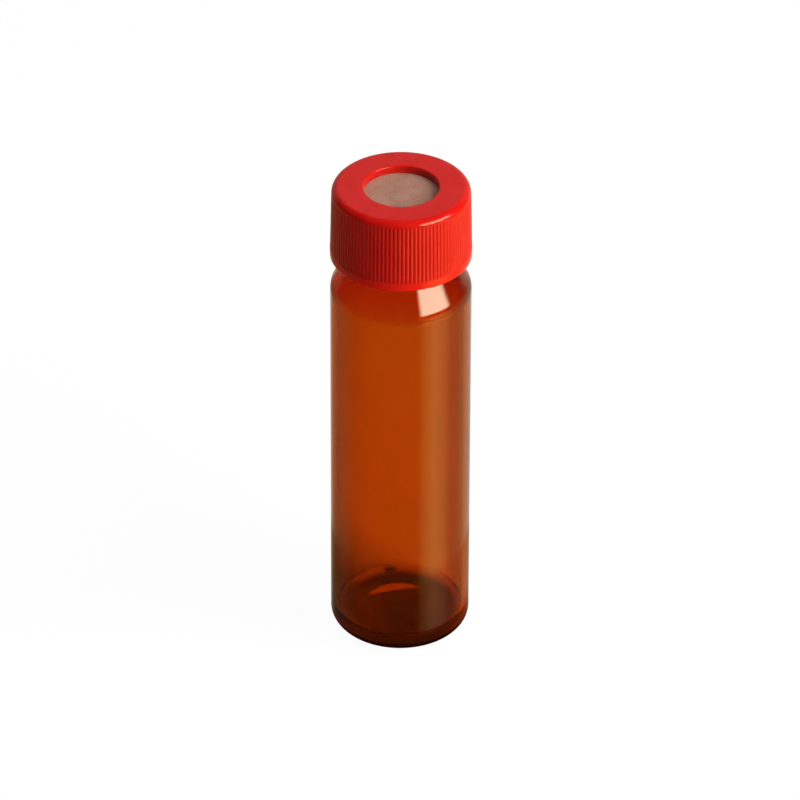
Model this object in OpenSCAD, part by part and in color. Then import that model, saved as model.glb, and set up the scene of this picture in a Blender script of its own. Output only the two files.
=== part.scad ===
// Screw-thread sample vial: a round glass vial with a one-start neck thread, an open-top
// screw cap with a ribbed skirt, and a two-layer septum squeezed between cap and lip.
// Lengths are millimetres and angles degrees. The origin is the centre of the base, on the
// surface that the vial stands on, and +Z is the axis of every piece.

/* [Glass body] */
// Outer diameter of the body
vial_d = 27.25; // [25:0.05:32]
// Height of the glass from its resting ring to its lip
vial_h = 95.5; // [60:0.5:140]
// Thickness of the body's wall
wall_t = 1.2; // [0.8:0.1:2]
// Thickness of the base at its centre
base_t = 2; // [1:0.1:3]
// Rise of the dished underside at its centre
push_up = 0.6; // [0.2:0.1:1.5]
// Outer radius of the heel, where the wall turns into the base
heel_r = 3; // [1.5:0.1:5]
// Inner radius between the wall and the floor
floor_r = 3; // [0.8:0.1:4]
// Width of the flat resting ring
ring_w = 0.9; // [0.4:0.1:2]

/* [Shoulder and neck] */
// Height of the shoulder's curve, from the straight wall to the straight neck
shoulder_h = 7.3; // [7.3:0.1:12]
// Outer radius where the wall turns into the shoulder
shoulder_r = 4; // [2.2:0.1:4.5]
// Inner radius where the wall turns into the shoulder
shoulder_in_r = 1; // [0.6:0.1:2.4]
// How much lower the inside of the shoulder lies than its outside, which thickens the glass there
shoulder_drop = 1; // [0:0.1:1.5]
// Radius where the shoulder turns into the neck
neck_fillet = 2.2; // [1:0.1:2.6]
// Width of the shoulder, from the body's wall in to the neck at the root of its thread
shoulder_w = 3.025; // [2.6:0.025:4]
// Length of the straight neck, from the lip down to the shoulder
neck_h = 10.8; // [9.5:0.1:14]
// Thickness of the neck's wall
neck_t = 2.2; // [1.6:0.1:2.4]
// Rounding of the lip's two edges
lip_r = 0.6; // [0.2:0.05:0.75]

/* [Thread] */
// Rise of the thread in one turn
pitch = 3.175; // [3:0.025:3.8]
// Turns of the glass thread
thread_turns = 1.4; // [1:0.05:1.6]
// Height of the glass thread over the neck
thread_depth = 1.2; // [0.8:0.05:1.3]
// Width of the glass thread where it meets the neck
thread_w = 2.39; // [1.8:0.01:2.5]
// Slope of the thread's flanks
flank_angle = 30; // [20:1:32]
// Distance from the lip to the upper edge of the thread
thread_drop = 1.17; // [0.6:0.01:2]
// Stretch over which each end of a thread fades out
fade_angle = 40; // [20:5:60]

/* [Cap] */
// Height of the cap
cap_h = 15.15; // [13.5:0.05:16.5]
// Thickness of the top plate around the hole
plate_t = 1.6; // [1:0.1:2.5]
// Narrowing of the skirt's radius from its lower end, flush with the body, to its top
skirt_taper = 0.26; // [0:0.01:0.5]
// Rounding of the edge between the top and the skirt
top_edge_r = 1.45; // [0.8:0.05:2.2]
// Diameter of the hole over the septum
hole_d = 14.5; // [8:0.1:16]
// Rounding of the hole's upper edge
hole_edge_r = 0.25; // [0.1:0.05:0.6]
// Height of the smooth band under the ribs
band_h = 1.75; // [0.8:0.05:3]
// How far the band stands out from the ribs
band_out = 0.05; // [0.02:0.01:0.4]
// Number of ribs round the skirt
rib_count = 108; // [60:4:120]
// Width of the groove between two ribs
groove_w = 0.44; // [0.3:0.02:0.6]

/* [Septum] */
// Thickness of the soft disc
septum_t = 3.05; // [1:0.05:4]
// Thickness of the facing on its underside
facing_t = 0.15; // [0.1:0.01:0.3]

/* [Fits] */
// Gap between a thread's crest and the wall that it runs along
crest_gap = 0.3; // [0.2:0.05:0.5]
// Gap between the flanks of the two threads, on each side
flank_gap = 0.2; // [0.1:0.02:0.3]
// Gap between the septum's edge and the inside of the skirt
septum_gap = 1.1; // [0.3:0.1:1.4]

/* [Hidden] */

$fn = 96;
arc_steps = 6;          // straight steps in each small rounding of an outline
turn_steps = 36;        // straight steps in one turn of a thread
thread_bury = 0.3;      // how deep a thread's root sits in the wall that carries it
crest_share = 0.75;     // share of a thread's depth at which its crest starts to round
crest_w = 0.7;          // width of the flat left on the crest of the glass thread
skirt_edge = 0.3;       // chamfer and rounding at the skirt's lower end
groove_sides = 6;       // sides of the bar that cuts a groove, half of them in the skirt
thread_end_gap = 0.7;   // distance kept between the cap's thread and the skirt's lower end

vial_r = vial_d / 2;
bore_r = vial_r - wall_t;
neck_r = vial_r - shoulder_w;
mouth_r = neck_r - neck_t;
neck_z = vial_h - neck_h;
shoulder_z = neck_z - shoulder_h;
ring_r = vial_r - heel_r;

thread_r = neck_r + thread_depth;
thread_top_z = vial_h - thread_drop - thread_w / 2;

cavity_r = thread_r + crest_gap;
cap_thread_r = neck_r + crest_gap;
septum_r = cavity_r - septum_gap;
plate_z = vial_h + facing_t + septum_t;
cap_top_z = plate_z + plate_t;
cap_z = cap_top_z - cap_h;
skirt_low_r = vial_r;
skirt_top_r = skirt_low_r - skirt_taper;
band_r = skirt_low_r + band_out;
band_z = cap_z + band_h;
skirt_side_h = cap_top_z - top_edge_r - band_z;
draft = atan(skirt_taper / skirt_side_h);

// The cap's thread lies half a turn's rise under the glass thread, in the middle of its gap.
cap_thread_top_z = thread_top_z - pitch / 2;
cap_thread_low_z = cap_z + thread_end_gap + cap_thread_w(cavity_r) / 2;
cap_thread_turns = (cap_thread_top_z - cap_thread_low_z) / pitch;

// Points of an arc round a centre, from one angle to another.
function arc(centre, r, from, to, steps = arc_steps) =
    [for (i = [0 : steps]) let (a = from + (to - from) * i / steps)
        centre + r * [cos(a), sin(a)]];

// Points of a shallow dome, from the axis out to its edge.
function dome(edge_r, edge_z, rise) =
    let (r = (edge_r * edge_r + rise * rise) / (2 * rise), half = asin(edge_r / r))
    arc([0, edge_z + rise - r], r, 90, 90 - half);

// Points of the curve from a wall up to a neck: an arc, a straight slope that touches both
// arcs, and a second arc that bends the other way. The drop lowers the whole curve.
function shoulder_curve(low_r, high_r, low_arc, high_arc, drop = 0) =
    let (
        side = low_arc + high_arc - (low_r - high_r),
        slope = asin((low_arc + high_arc) / norm([side, shoulder_h])) - atan2(side, shoulder_h)
    )
    concat(
        arc([low_r - low_arc, shoulder_z - drop], low_arc, 0, slope),
        arc([high_r + high_arc, neck_z - drop], high_arc, 180 + slope, 180)
    );

function reversed(list) = [for (i = [len(list) - 1 : -1 : 0]) list[i]];

// Width of the glass thread at a radius, and of the cap's thread that runs in its gap.
function glass_thread_w(r) = thread_w - 2 * (r - neck_r) * tan(flank_angle);
function cap_thread_w(r) = pitch - glass_thread_w(r) - 2 * flank_gap;

// Sections of the two threads as [radius, height] points. The first and last are buried.
function glass_thread_section() =
    let (root_r = neck_r - thread_bury, round_r = neck_r + crest_share * thread_depth)
    [
        [root_r, -glass_thread_w(root_r) / 2],
        [round_r, -glass_thread_w(round_r) / 2],
        [thread_r, -crest_w / 2],
        [thread_r, crest_w / 2],
        [round_r, glass_thread_w(round_r) / 2],
        [root_r, glass_thread_w(root_r) / 2]
    ];
function cap_thread_section() =
    let (root_r = cavity_r + thread_bury)
    [
        [root_r, cap_thread_w(root_r) / 2],
        [cap_thread_r, cap_thread_w(cap_thread_r) / 2],
        [cap_thread_r, -cap_thread_w(cap_thread_r) / 2],
        [root_r, -cap_thread_w(root_r) / 2]
    ];

// One-start right-hand thread swept down from its top end. At both ends the crest sinks
// into the wall, down to a third of the depth that the root is buried.
module thread(section, top_z, turns) {
    root_r = section[0][0];
    crest_r = section[1][0];
    steps = ceil(turns * turn_steps);
    count = len(section);
    sunk = thread_bury / 3 / abs(crest_r - root_r);
    function depth(turn) = max(sunk, min(1, turn * 360 / fade_angle, (turns - turn) * 360 / fade_angle));
    points = [
        for (i = [0 : steps], p = section)
            let (turn = turns * i / steps, r = root_r + (p[0] - root_r) * depth(turn))
            [r * cos(-360 * turn), r * sin(-360 * turn), top_z - pitch * turn + p[1]]
    ];
    sides = [
        for (i = [0 : steps - 1], j = [0 : count - 1])
            let (a = i * count + j, b = i * count + (j + 1) % count)
            each [[a, a + count, b], [b, a + count, b + count]]
    ];
    first_end = [[for (j = [0 : count - 1]) j]];
    last_end = [[for (j = [count - 1 : -1 : 0]) steps * count + j]];
    polyhedron(points = points, faces = concat(sides, first_end, last_end));
}

// Section of the blown glass: underside, heel, wall, shoulder, neck, lip, and back inside.
module glass_outline() {
    dish_r = ring_r - ring_w;
    outside = concat(
        dome(dish_r, 0, push_up),
        arc([ring_r, heel_r], heel_r, -90, 0),
        shoulder_curve(vial_r, neck_r, shoulder_r, neck_fillet),
        arc([neck_r - lip_r, vial_h - lip_r], lip_r, 0, 90)
    );
    inside = concat(
        dome(bore_r - floor_r, base_t, push_up),
        arc([bore_r - floor_r, base_t + floor_r], floor_r, -90, 0),
        shoulder_curve(bore_r, mouth_r, shoulder_in_r, neck_fillet + neck_t, shoulder_drop),
        arc([mouth_r + lip_r, vial_h - lip_r], lip_r, 180, 90)
    );
    polygon(concat(outside, reversed(inside)));
}

module vial() {
    color([0.62, 0.22, 0.04]) {
        rotate_extrude() glass_outline();
        thread(glass_thread_section(), thread_top_z, thread_turns);
    }
}

// Section of the moulded cap without its grooves and thread.
module cap_outline() {
    hole_r = hole_d / 2;
    polygon(concat(
        [
            [cavity_r, plate_z],
            [cavity_r, cap_z + skirt_edge],
            [cavity_r + skirt_edge, cap_z]
        ],
        arc([band_r - skirt_edge, cap_z + skirt_edge], skirt_edge, -90, 0),
        [[band_r, band_z - band_out], [skirt_low_r, band_z]],
        arc([skirt_top_r - top_edge_r, cap_top_z - top_edge_r], top_edge_r, draft, 90),
        arc([hole_r + hole_edge_r, cap_top_z - hole_edge_r], hole_edge_r, 90, 180),
        [[hole_r, plate_z]]
    ));
}

// One groove with a flat floor and two sloping sides. It follows the skirt's taper and ends
// where the top edge begins to round.
module groove() {
    translate([skirt_low_r, 0, band_z])
        rotate([0, -draft, 180 / groove_sides])
            cylinder(d = groove_w, h = skirt_side_h, $fn = groove_sides);
}

module cap() {
    color([0.82, 0.1, 0.07]) {
        difference() {
            rotate_extrude() cap_outline();
            for (i = [0 : rib_count - 1])
                rotate(360 * i / rib_count) groove();
        }
        thread(cap_thread_section(), cap_thread_top_z, cap_thread_turns);
    }
}

module septum() {
    color([0.74, 0.58, 0.5])
        translate([0, 0, vial_h + facing_t]) cylinder(r = septum_r, h = septum_t);
}

module septum_facing() {
    color([0.96, 0.96, 0.94])
        translate([0, 0, vial_h]) cylinder(r = septum_r, h = facing_t);
}

vial();
cap();
septum();
septum_facing();
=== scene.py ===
"""Amber glass sample vial with a ribbed open-top screw cap and a two-layer septum.

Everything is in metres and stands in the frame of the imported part: the origin is the centre of the
base, and +Z is the axis that the glass, the cap and the septum share.
"""

import logging
import math
from dataclasses import dataclass, field
from enum import Enum

import bpy
import numpy as np
from mathutils import Matrix, Vector


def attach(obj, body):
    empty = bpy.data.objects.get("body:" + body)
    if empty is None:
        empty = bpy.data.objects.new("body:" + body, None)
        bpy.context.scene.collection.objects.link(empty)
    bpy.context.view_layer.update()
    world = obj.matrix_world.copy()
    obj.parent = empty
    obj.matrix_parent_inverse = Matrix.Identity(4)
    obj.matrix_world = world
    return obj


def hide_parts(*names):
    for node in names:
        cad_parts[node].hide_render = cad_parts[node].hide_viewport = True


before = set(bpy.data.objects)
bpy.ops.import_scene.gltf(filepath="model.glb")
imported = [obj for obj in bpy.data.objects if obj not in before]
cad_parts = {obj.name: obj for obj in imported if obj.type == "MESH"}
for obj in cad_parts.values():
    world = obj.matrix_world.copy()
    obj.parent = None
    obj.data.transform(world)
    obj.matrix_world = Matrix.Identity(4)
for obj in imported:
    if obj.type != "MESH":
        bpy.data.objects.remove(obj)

Colour = tuple[float, float, float]
Place = tuple[float, float, float]
Span = tuple[float, float]
Points = np.ndarray
Polygons = list[np.ndarray]
Socket = bpy.types.NodeSocket

LOG = logging.getLogger("sample_vial")
TURN = 2.0 * math.pi
UPRIGHT = math.pi / 2
SAME_PLACE = 1e-8
WHITE: Colour = (1.0, 1.0, 1.0)
BLACK: Colour = (0.0, 0.0, 0.0)
ORIGIN: Place = (0.0, 0.0, 0.0)
UNIT: Place = (1.0, 1.0, 1.0)
RISING: Span = (0.0, 1.0)
FALLING: Span = (1.0, 0.0)


class Slot(Enum):
    """The record's material slots, which share their names with the nodes."""

    VIAL = "vial"
    CAP = "cap"
    SEPTUM = "septum"
    FACING = "septum_facing"


class Body(Enum):
    """The bodies that the pieces ride on."""

    VIAL = "vial"
    SEPTUM = "septum"
    CAP = "cap"


# Outlines, as [radius, height] points


def line(start: Span, end: Span, steps: int = 1) -> Points:
    """Returns points at even steps from start to end, both included."""
    share = np.linspace(0.0, 1.0, steps + 1)[:, None]
    return np.asarray(start) * (1.0 - share) + np.asarray(end) * share


def arc(centre: Span, radius: float, start: float, end: float, steps: int) -> Points:
    """Returns an arc: centre + radius * (cos a, sin a), with a going evenly from start to end.

    Args:
        centre: The arc's centre.
        radius: The arc's radius.
        start: The first angle in radians, from the direction of growing radius.
        end: The last angle in radians.
        steps: The number of steps between the two.

    Returns:
        The points, one row each.
    """
    angle = np.linspace(start, end, steps + 1)
    return np.asarray(centre) + radius * np.column_stack((np.cos(angle), np.sin(angle)))


def dome(edge_r: float, edge_z: float, rise: float, steps: int = 12) -> Points:
    """Returns a shallow dome from the axis out to its edge.

    The sphere has the radius (edge_r^2 + rise^2) / (2 rise), so that it passes the edge and stands
    rise above it on the axis.

    Args:
        edge_r: Radius of the dome's edge.
        edge_z: Height of the dome's edge.
        rise: Height of its middle over its edge.
        steps: The number of steps from the axis to the edge.

    Returns:
        The points, one row each.
    """
    radius = (edge_r**2 + rise**2) / (2.0 * rise)
    half = math.asin(edge_r / radius)
    return arc((0.0, edge_z + rise - radius), radius, UPRIGHT, UPRIGHT - half, steps)


def join(*parts: Points) -> Points:
    """Joins outlines end to end and drops each point that repeats the one before it.

    Args:
        *parts: The outlines in order.

    Returns:
        The points of the whole outline.
    """
    points = np.concatenate(parts)
    step = np.linalg.norm(np.diff(points, axis=0), axis=1)
    return points[np.concatenate(([True], step > SAME_PLACE))]


def smooth_step(share: np.ndarray) -> np.ndarray:
    """Returns s^2 (3 - 2 s), with s the share held between 0 and 1."""
    held = np.clip(share, 0.0, 1.0)
    return held**2 * (3.0 - 2.0 * held)


# Meshes


def column_angles(columns: int) -> np.ndarray:
    """Returns the angles of evenly spaced columns round the axis."""
    return np.arange(columns) * TURN / columns


def grid_points(radius: np.ndarray, height: np.ndarray, angle: np.ndarray) -> Points:
    """Turns a grid about the axis: row i, column j stands at (r cos a, r sin a, z).

    Args:
        radius: Radius of each row and column.
        height: Height of each row.
        angle: Angle of each column.

    Returns:
        The points, row after row.
    """
    z = np.broadcast_to(height[:, None], radius.shape)
    return np.stack((radius * np.cos(angle), radius * np.sin(angle), z), axis=-1).reshape(-1, 3)


def grid_quads(rows: int, columns: int, first: int = 0) -> np.ndarray:
    """Returns the quads of a grid that closes on itself round the axis.

    A quad takes (i, j), (i, j + 1), (i + 1, j + 1), (i + 1, j). It faces outwards where the rows
    climb the outside.

    Args:
        rows: Number of rows.
        columns: Number of columns.
        first: Index of the grid's first point.

    Returns:
        Four indices for each quad.
    """
    i, j = np.meshgrid(np.arange(rows - 1), np.arange(columns), indexing="ij")
    k = (j + 1) % columns
    low, high = i * columns, (i + 1) * columns
    return first + np.stack((low + j, low + k, high + k, high + j), axis=-1).reshape(-1, 4)


def lathe(outline: Points, radius: np.ndarray, angle: np.ndarray) -> tuple[Points, Polygons]:
    """Closes a lathed body whose outline starts and ends on the axis.

    Args:
        outline: The outline, with its first and last point on the axis.
        radius: Radius of each inner row of the outline at each column.
        angle: Angle of each column.

    Returns:
        The points and the polygons: the rings as quads and the two poles as fans of triangles.
    """
    columns, rows = len(angle), len(outline) - 2
    poles = [[0.0, 0.0, outline[0, 1]], [0.0, 0.0, outline[-1, 1]]]
    points = np.concatenate((grid_points(radius, outline[1:-1, 1], angle), poles))
    here = np.arange(columns)
    after = (here + 1) % columns
    low, high = rows * columns, rows * columns + 1
    last = (rows - 1) * columns
    low_fan = np.stack((np.full(columns, low), after, here), axis=-1)
    high_fan = np.stack((last + here, last + after, np.full(columns, high)), axis=-1)
    return points, [grid_quads(rows, columns), low_fan, high_fan]


def collar(many: np.ndarray, few: np.ndarray, ratio: int, many_first: bool) -> np.ndarray:
    """Joins a ring of many points to a ring of few, with one polygon for each step of the latter.

    Args:
        many: Indices of the finer ring.
        few: Indices of the coarser ring, whose point m stands beside point ratio * m of the other.
        ratio: Steps of the finer ring in one step of the coarser one.
        many_first: True if the finer ring comes first in the order of the rows.

    Returns:
        The polygons' indices.
    """
    m = np.arange(len(few))
    fine = many[(ratio * m[:, None] + np.arange(ratio + 1)) % len(many)]
    near, far = few[m][:, None], few[(m + 1) % len(few)][:, None]
    if many_first:
        return np.concatenate((fine, far, near), axis=1)
    return np.concatenate((near, far, fine[:, ::-1]), axis=1)


def build_piece(
    name: str, points: Points, polygons: Polygons, sharp: float | None = None
) -> bpy.types.Object:
    """Puts points and polygons into a mesh object at the origin.

    Args:
        name: The object's name.
        points: The points, one row each.
        polygons: Arrays of indices, one array for each number of corners.
        sharp: Angle in radians past which an edge is left sharp, or None for a mesh smooth all over.

    Returns:
        The object, linked to the scene.
    """
    mesh = bpy.data.meshes.new(name)
    sizes = np.concatenate([np.full(len(group), group.shape[1]) for group in polygons])
    corners = np.concatenate([group.ravel() for group in polygons])
    starts = np.concatenate(([0], np.cumsum(sizes)[:-1]))
    mesh.vertices.add(len(points))
    mesh.vertices.foreach_set("co", np.ascontiguousarray(points, dtype=np.float32).ravel())
    mesh.loops.add(len(corners))
    mesh.loops.foreach_set("vertex_index", corners.astype(np.int32))
    mesh.polygons.add(len(sizes))
    mesh.polygons.foreach_set("loop_start", starts.astype(np.int32))
    mesh.update(calc_edges=True)
    mesh.validate()
    mesh.polygons.foreach_set("use_smooth", np.ones(len(mesh.polygons), dtype=bool))
    if sharp is not None:
        mesh.set_sharp_from_angle(angle=sharp)
    piece = bpy.data.objects.new(name, mesh)
    bpy.context.scene.collection.objects.link(piece)
    return piece


def dress(
    piece: bpy.types.Object, material: bpy.types.Material, body: Body, slot: Slot
) -> bpy.types.Object:
    """Gives a piece its finish and body, and lets it stand for the node that the slot names.

    Args:
        piece: The piece.
        material: Its finish.
        body: The body that it rides on.
        slot: The slot that its finish belongs to, named as the node that it replaces.

    Returns:
        The piece.
    """
    piece.data.materials.append(material)
    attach(piece, body.value)
    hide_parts(slot.value)
    LOG.info("%s: %d polygons on body %s", piece.name, len(piece.data.polygons), body.value)
    return piece


# Wiring of node trees


def rgba(colour: Colour) -> tuple[float, float, float, float]:
    """Returns a colour with full alpha."""
    return (*colour, 1.0)


class Wiring:
    """Adds nodes to one node tree and joins them."""

    def __init__(self, tree: bpy.types.NodeTree) -> None:
        """Keeps the tree that the nodes go into."""
        self.tree = tree

    def feed(self, node: bpy.types.Node, inputs: dict[str | int, object]) -> None:
        """Links sockets to a node's inputs, or sets plain values on them.

        Args:
            node: The node.
            inputs: Values or output sockets for its inputs, by name or number.
        """
        for key, value in inputs.items():
            if isinstance(value, Socket):
                self.tree.links.new(value, node.inputs[key])
            else:
                node.inputs[key].default_value = value

    def add(
        self, kind: str, inputs: dict[str | int, object] | None = None, **settings: object
    ) -> bpy.types.Node:
        """Adds a node.

        Args:
            kind: The node's type name.
            inputs: Values or output sockets for the node's inputs, by name or number.
            **settings: Properties of the node, set before its inputs.

        Returns:
            The node.
        """
        node = self.tree.nodes.new(kind)
        for name, value in settings.items():
            setattr(node, name, value)
        self.feed(node, inputs or {})
        return node

    def math(self, operation: str, a: object, b: object = 0.0, c: object = 0.0) -> Socket:
        """Adds one step of arithmetic and returns its result."""
        return self.add("ShaderNodeMath", {0: a, 1: b, 2: c}, operation=operation).outputs[0]

    def times(self, a: object, b: object) -> Socket:
        """Multiplies two values and returns the result."""
        return self.math("MULTIPLY", a, b)

    def larger(self, a: object, b: object) -> Socket:
        """Returns the larger of two values."""
        return self.math("MAXIMUM", a, b)

    def vector(self, operation: str, a: object, b: Place = ORIGIN) -> bpy.types.Node:
        """Adds one step of arithmetic on vectors and returns its node."""
        return self.add("ShaderNodeVectorMath", {0: a, 1: b}, operation=operation)

    def remap(self, value: object, source: Span, target: Span) -> Socket:
        """Carries a value smoothly from the source range to the target range, and returns it."""
        inputs = {"Value": value, 1: source[0], 2: source[1], 3: target[0], 4: target[1]}
        return self.add("ShaderNodeMapRange", inputs, interpolation_type="SMOOTHSTEP").outputs[0]

    def mix(self, share: object, a: object, b: object) -> Socket:
        """Mixes two colours by a share and returns the colour."""
        return self.add("ShaderNodeMix", {0: share, 6: a, 7: b}, data_type="RGBA").outputs[2]

    def blend(self, share: object, a: Socket, b: Socket) -> Socket:
        """Mixes two shaders by a share and returns the shader."""
        return self.add("ShaderNodeMixShader", {0: share, 1: a, 2: b}).outputs[0]

    def glow(self, colour: object) -> Socket:
        """Adds a surface that shines in a colour, and returns its shader."""
        return self.add("ShaderNodeEmission", {"Color": colour, "Strength": 1.0}).outputs[0]

    def bump(self, height: Socket, distance: float) -> Socket:
        """Adds a relief that is so many metres high where its height is 1, and returns its normal."""
        inputs = {"Strength": 1.0, "Distance": distance, "Height": height}
        return self.add("ShaderNodeBump", inputs).outputs[0]

    def noise(self, place: Socket, scale: object, detail: float) -> Socket:
        """Adds a noise texture and returns its grey value."""
        inputs = {"Vector": place, "Scale": scale, "Detail": detail}
        return self.add("ShaderNodeTexNoise", inputs).outputs[0]

    def place(self, stretch: Place = UNIT) -> Socket:
        """Returns the piece's own coordinates, stretched by a factor along each axis."""
        here = self.add("ShaderNodeTexCoord").outputs["Object"]
        return self.add("ShaderNodeMapping", {"Vector": here, "Scale": stretch}).outputs[0]

    def along(self, axis: str) -> Socket:
        """Returns one of the piece's own coordinates."""
        return self.add("ShaderNodeSeparateXYZ", {0: self.place()}).outputs[axis]

    def distance(self, centre: Place, size: Place = UNIT) -> Socket:
        """Returns how far the piece's own coordinates lie from a centre, in units of a size.

        Args:
            centre: The centre.
            size: The length along each axis that counts as 1.

        Returns:
            The distance.
        """
        away = self.vector("SUBTRACT", self.place(), centre).outputs[0]
        scaled = self.vector("DIVIDE", away, size).outputs[0]
        return self.vector("LENGTH", scaled).outputs["Value"]


def empty_tree(owner: bpy.types.Material | bpy.types.World) -> Wiring:
    """Empties the node tree of a material or a world.

    Args:
        owner: The material or world.

    Returns:
        The wiring of its tree.
    """
    owner.use_nodes = True
    owner.node_tree.nodes.clear()
    return Wiring(owner.node_tree)


def start_material(name: str) -> tuple[bpy.types.Material, Wiring, bpy.types.Node, bpy.types.Node]:
    """Makes a material with a Principled shader on its surface.

    Args:
        name: The material's name.

    Returns:
        The material, its wiring, its shader and its output.
    """
    material = bpy.data.materials.new(name)
    wiring = empty_tree(material)
    shader = wiring.add("ShaderNodeBsdfPrincipled")
    output = wiring.add("ShaderNodeOutputMaterial", {"Surface": shader.outputs[0]})
    return material, wiring, shader, output


def fine_surface() -> bpy.types.NodeTree:
    """Builds the node group that every finish shares, once.

    Mottle is a slow noise and Grain a fast one. Roughness is the given roughness plus the spread
    times 0.6 mottle + 0.8 grain - 0.7, which is 0 where both are at their middle.

    Returns:
        The group.
    """
    name = "fine_surface"
    mottle_detail, mottle_range, mottle_share = 4.0, (0.3, 0.7), 0.6
    grain_detail, grain_share = 3.0, 0.8
    middle = 0.7
    if name in bpy.data.node_groups:
        return bpy.data.node_groups[name]
    tree = bpy.data.node_groups.new(name, "ShaderNodeTree")
    for socket in ("Mottle Scale", "Grain Scale", "Roughness", "Spread"):
        tree.interface.new_socket(socket, in_out="INPUT", socket_type="NodeSocketFloat")
    for socket in ("Mottle", "Grain", "Roughness"):
        tree.interface.new_socket(socket, in_out="OUTPUT", socket_type="NodeSocketFloat")
    wiring = Wiring(tree)
    given = wiring.add("NodeGroupInput").outputs
    here = wiring.place()
    mottle = wiring.remap(wiring.noise(here, given["Mottle Scale"], mottle_detail), mottle_range, RISING)
    grain = wiring.noise(here, given["Grain Scale"], grain_detail)
    both = wiring.math("ADD", wiring.times(mottle, mottle_share), wiring.times(grain, grain_share))
    off_middle = wiring.math("SUBTRACT", both, middle)
    moved = wiring.math("MULTIPLY_ADD", off_middle, given["Spread"], given["Roughness"])
    outputs = {"Mottle": mottle, "Grain": grain, "Roughness": wiring.larger(moved, 0.0)}
    wiring.add("NodeGroupOutput", outputs)
    return tree


@dataclass(frozen=True)
class Surface:
    """How the shared surface group is set for one finish.

    Attributes:
        mottle_scale: Patches of tone to the metre.
        grain_scale: Grains to the metre.
        roughness: Middle roughness.
        spread: How far the roughness moves with the noise.
    """

    mottle_scale: float
    grain_scale: float
    roughness: float
    spread: float

    def add_to(self, wiring: Wiring) -> bpy.types.Node:
        """Places the shared group with these values.

        Args:
            wiring: The wiring of the material that it goes into.

        Returns:
            The group's node.
        """
        values = {
            "Mottle Scale": self.mottle_scale,
            "Grain Scale": self.grain_scale,
            "Roughness": self.roughness,
            "Spread": self.spread,
        }
        return wiring.add("ShaderNodeGroup", values, node_tree=fine_surface())


# Finishes


@dataclass(frozen=True)
class AmberGlass:
    """Clear amber glass drawn as tube, with faint draw lines along the wall.

    The colour sits partly at the surface, as tint, and mostly in the depth, where the light left
    after a length is exp(-density * (1 - depth_colour) * length).

    Attributes:
        tint: Tint of each surface seen face on.
        deep_tint: The same in the darker patches.
        painted_edge_tint: Tint of a surface seen edge on.
        edge_facing: Facing values between which the tint turns from face on to edge on.
        depth_colour: Colour of the absorption in the depth.
        density: Strength of the absorption, to the metre.
        ior: Index of refraction.
        surface: Settings of the shared surface group.
        line_scale: Draw lines to the metre round the wall.
        line_stretch: Scale of the draw lines along the axis, as a share of that round it.
        line_detail: Octaves of the noise that makes the draw lines.
        line_height: Height of the draw lines.
        grain_share: Height of the grain, as a share of that of the draw lines.
        spot_place: Middle of a small dark spot low in the wall at the back.
        seed_size: The spot's size along each axis.
        spot_reach: Distances in spot sizes between which the spot fades out.
        spot_tint: Tint of the spot.
    """

    tint: Colour = (0.685, 0.55, 0.20)
    deep_tint: Colour = (0.665, 0.51, 0.17)
    # painted_edge_tint: Tint of a surface seen edge on, darker and more olive: painted shade.
    painted_edge_tint: Colour = (0.39, 0.45, 0.19)
    edge_facing: Span = (0.20, 0.82)
    depth_colour: Colour = (0.934, 0.53, 0.0)
    density: float = 1650.0
    ior: float = 1.52
    surface: Surface = Surface(mottle_scale=90.0, grain_scale=900.0, roughness=0.004, spread=0.01)
    line_scale: float = 1400.0
    line_stretch: float = 0.012
    line_detail: float = 1.0
    line_height: float = 0.0000022
    grain_share: float = 0.25
    spot_place: Place = (-0.00225, 0.0122, 0.0029)
    seed_size: Place = (0.0021, 0.0014, 0.0008)
    spot_reach: Span = (0.6, 1.1)
    spot_tint: Colour = (0.004, 0.003, 0.002)

    def tints(self, wiring: Wiring, mottle: Socket) -> Socket:
        """Wires the tint: patches face on, painted edge shade, and a small dark spot.

        Args:
            wiring: The material's wiring.
            mottle: Mask of the darker patches.

        Returns:
            The tint.
        """
        # Painted shade: surfaces seen edge on get a darker, more olive tint.
        facing = wiring.add("ShaderNodeLayerWeight", {"Blend": 0.5}).outputs["Facing"]
        edge = wiring.remap(facing, self.edge_facing, RISING)
        off_spot = wiring.distance(self.spot_place, self.seed_size)
        clear = wiring.mix(mottle, rgba(self.tint), rgba(self.deep_tint))
        clear = wiring.mix(edge, clear, rgba(self.painted_edge_tint))
        return wiring.mix(wiring.remap(off_spot, self.spot_reach, FALLING), clear, rgba(self.spot_tint))

    def material(self) -> bpy.types.Material:
        """Builds the glass: tinted surfaces, draw lines as a low relief, and colour in the depth.

        Returns:
            The material.
        """
        material, wiring, shader, output = start_material("amber_glass")
        group = self.surface.add_to(wiring).outputs
        stretched = wiring.place((1.0, 1.0, self.line_stretch))
        lines = wiring.noise(stretched, self.line_scale, self.line_detail)
        relief = wiring.math("MULTIPLY_ADD", group["Grain"], self.grain_share, lines)
        inputs = {
            "Base Color": self.tints(wiring, group["Mottle"]),
            "Roughness": group["Roughness"],
            "Normal": wiring.bump(relief, self.line_height),
            "IOR": self.ior,
            "Transmission Weight": 1.0,
        }
        wiring.feed(shader, inputs)
        absorption = {"Color": rgba(self.depth_colour), "Density": self.density}
        depth = wiring.add("ShaderNodeVolumeAbsorption", absorption)
        wiring.feed(output, {"Volume": depth.outputs[0]})
        return material


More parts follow.
